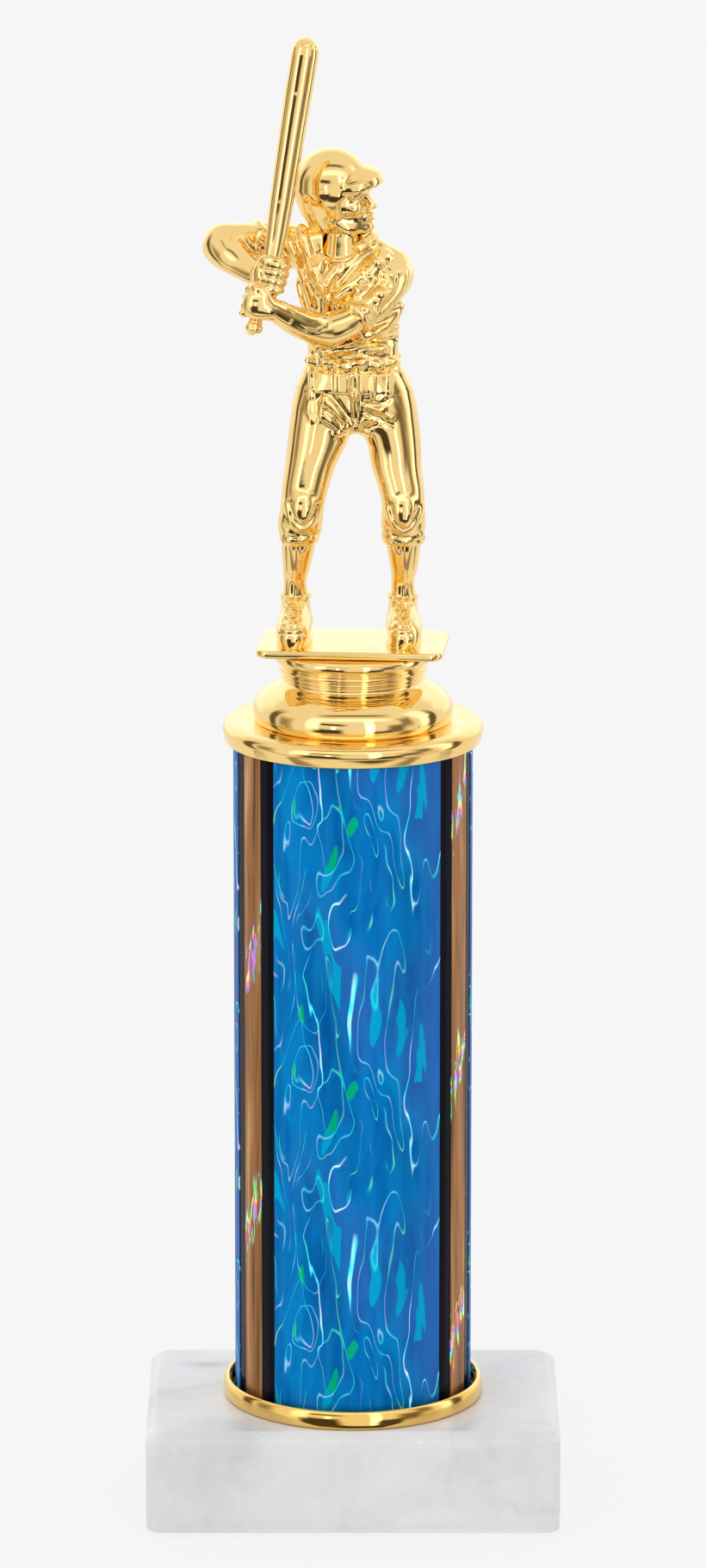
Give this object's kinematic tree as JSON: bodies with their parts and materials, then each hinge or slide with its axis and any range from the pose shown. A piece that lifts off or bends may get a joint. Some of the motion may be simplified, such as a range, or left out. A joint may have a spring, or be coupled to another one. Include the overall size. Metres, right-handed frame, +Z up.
{
  "type": "column trophy",
  "caption": "Sports column trophy: gilt batter on a plate and riser, foil-wrapped round column, gilt cap and ring, marble block base.",
  "frame": {"origin": "middle of the underside of the base, level with the soles of the felt pads", "axes": "+Z up the column towards the tip of the bat, -Y towards the side the figure faces, +X towards the figure's left hand side"},
  "size_m": [0.1016, 0.068, 0.3668],
  "materials": {
    "marble": "polished white marble with faint grey veins and a few bright crystals",
    "felt": "dark green pressed wool felt",
    "zinc_steel": "bright zinc plated steel",
    "gilt_metal": "bright gilt stamped metal, mirror polished",
    "gilt_plastic": "vacuum metallised gold over moulded plastic, mirror bright",
    "insert_brass": "machined brass",
    "black_plastic": "glossy black extruded plastic",
    "blue_foil": "holographic blue foil with rippled contour lines",
    "gold_foil": "bronze-gold diffraction foil with upright streaks"
  },
  "bodies": {
    "base": {"marble_base": "marble", "felt_pad_1": "felt", "felt_pad_2": "felt", "felt_pad_3": "felt", "felt_pad_4": "felt", "base_washer": "zinc_steel"},
    "column": {"column_ring": "gilt_metal", "column_tube": "black_plastic", "blue_panel_1": "blue_foil", "blue_panel_2": "blue_foil", "blue_panel_3": "blue_foil", "gold_stripe_1": "gold_foil", "gold_stripe_2": "gold_foil", "gold_stripe_3": "gold_foil", "column_cap": "gilt_plastic"},
    "topper": {"riser": "gilt_plastic", "figure_plate": "gilt_plastic", "threaded_insert": "insert_brass", "batter_figure": "gilt_plastic", "bat": "gilt_plastic", "check_rod": "zinc_steel", "lock_washer": "zinc_steel", "hex_nut": "zinc_steel"}
  },
  "joints": [
    {"name": "column_turn", "type": "hinge", "parent": "base", "child": "column", "pos_m": [0, 0, 0.027], "axis": [0, 0, 1], "continuous": true},
    {"name": "topper_turn", "type": "hinge", "parent": "base", "child": "topper", "pos_m": [0, 0, 0.1987], "axis": [0, 0, 1], "continuous": true}
  ]
}
